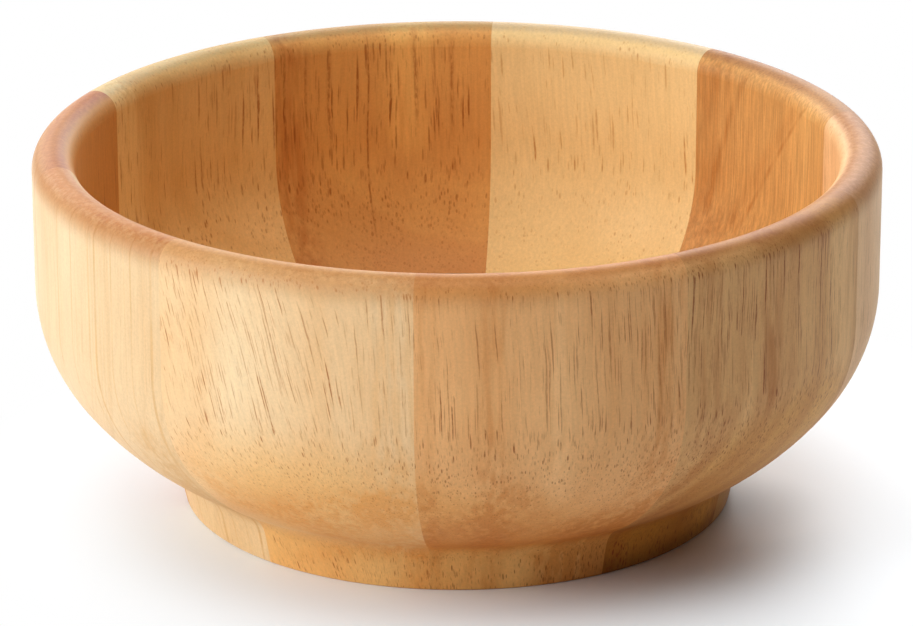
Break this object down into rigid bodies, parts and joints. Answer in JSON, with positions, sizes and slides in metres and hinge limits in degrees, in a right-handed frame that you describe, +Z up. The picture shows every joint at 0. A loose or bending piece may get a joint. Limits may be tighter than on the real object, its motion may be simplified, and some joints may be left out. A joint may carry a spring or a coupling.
{
  "type": "footed wooden bowl",
  "caption": "Small round footed bowl with an upright wall and full-round rim, turned from upright glued wooden staves round a base disc.",
  "frame": {"origin": "middle of the foot, on the surface that the bowl stands on", "axes": "+Z up along the bowl's axis, -Y towards the front of the picture, +X to its right"},
  "size_m": [0.151, 0.151, 0.066],
  "materials": {
    "wood_pale": "satin oil",
    "wood_tan": "satin oil",
    "wood_orange": "satin oil",
    "wood_brown": "satin oil"
  },
  "bodies": {
    "root": {"stave_01": "wood_tan", "stave_02": "wood_tan", "stave_03": "wood_tan", "stave_04": "wood_orange", "stave_05": "wood_pale", "stave_06": "wood_brown", "stave_07": "wood_brown", "stave_08": "wood_brown", "stave_09": "wood_pale", "stave_10": "wood_pale", "base_disc": "wood_tan"}
  },
  "joints": []
}
